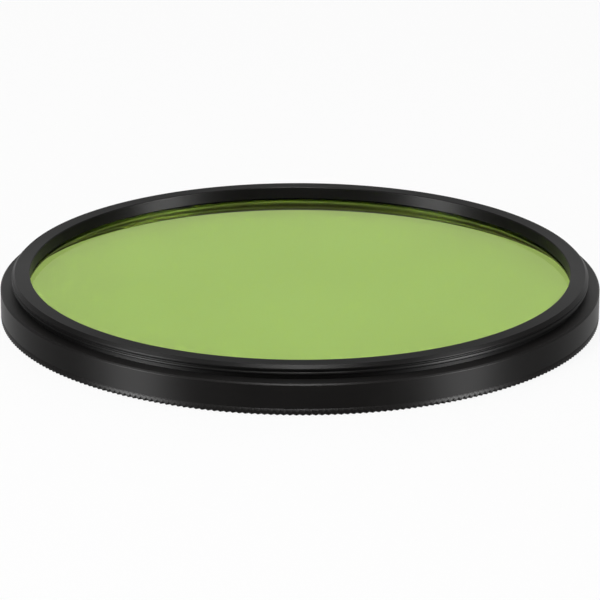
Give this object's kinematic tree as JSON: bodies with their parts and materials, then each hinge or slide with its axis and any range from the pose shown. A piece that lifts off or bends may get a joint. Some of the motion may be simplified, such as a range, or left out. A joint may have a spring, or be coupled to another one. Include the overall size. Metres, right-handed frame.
{
  "type": "enhancing filter",
  "caption": "Round screw-in colour filter for a camera lens: green glass in a thin black knurled ring, male thread behind and female in front.",
  "frame": {"origin": "centre of the front rim's flat face, on the optical axis", "axes": "+Z along the optical axis, from the front rim to the collar that screws into the lens"},
  "size_m": [0.08, 0.08, 0.006],
  "materials": {
    "anodised_ring": "satin black anodised",
    "green_glass": "polished, coated",
    "anodised_retainer": "matt black anodised"
  },
  "bodies": {
    "root": {"filter_ring": "anodised_ring", "filter_glass": "green_glass", "retaining_ring": "anodised_retainer"}
  },
  "joints": []
}
